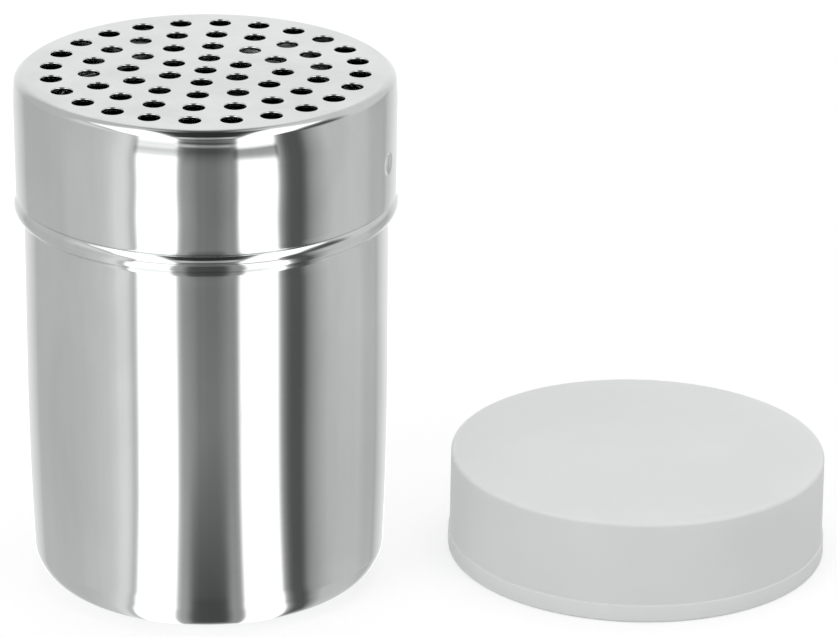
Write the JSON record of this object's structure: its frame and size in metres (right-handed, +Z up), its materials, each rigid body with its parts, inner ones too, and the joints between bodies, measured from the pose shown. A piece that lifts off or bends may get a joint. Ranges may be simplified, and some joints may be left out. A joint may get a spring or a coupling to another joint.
{
  "type": "perforated shaker",
  "caption": "Drawn steel beaker with a rolled bead, a perforated push-on cap that lifts off, and a thin plastic dust cover lying beside it.",
  "frame": {"origin": "on the beaker's axis, at the middle of the flat base that it stands on", "axes": "+Z up along the beaker's axis, -Y towards the picture's camera, +X to the side where the dust cover lies"},
  "size_m": [0.152, 0.082, 0.0981],
  "materials": {
    "polished_steel": "polished",
    "polished_steel_cap": "polished",
    "frosted_plastic": "satin"
  },
  "bodies": {
    "shaker": {"shaker_body": "polished_steel"},
    "cap": {"perforated_cap": "polished_steel_cap"},
    "cover": {"dust_cover": "frosted_plastic"}
  },
  "joints": [
    {"name": "cap_lift", "type": "slide", "parent": "shaker", "child": "cap", "axis": [0, 0, 1], "range_m": [0, 0.03]},
    {"name": "cover_lift", "type": "slide", "parent": "shaker", "child": "cover", "axis": [0, 0, 1], "range_m": [0, 0.1]}
  ]
}
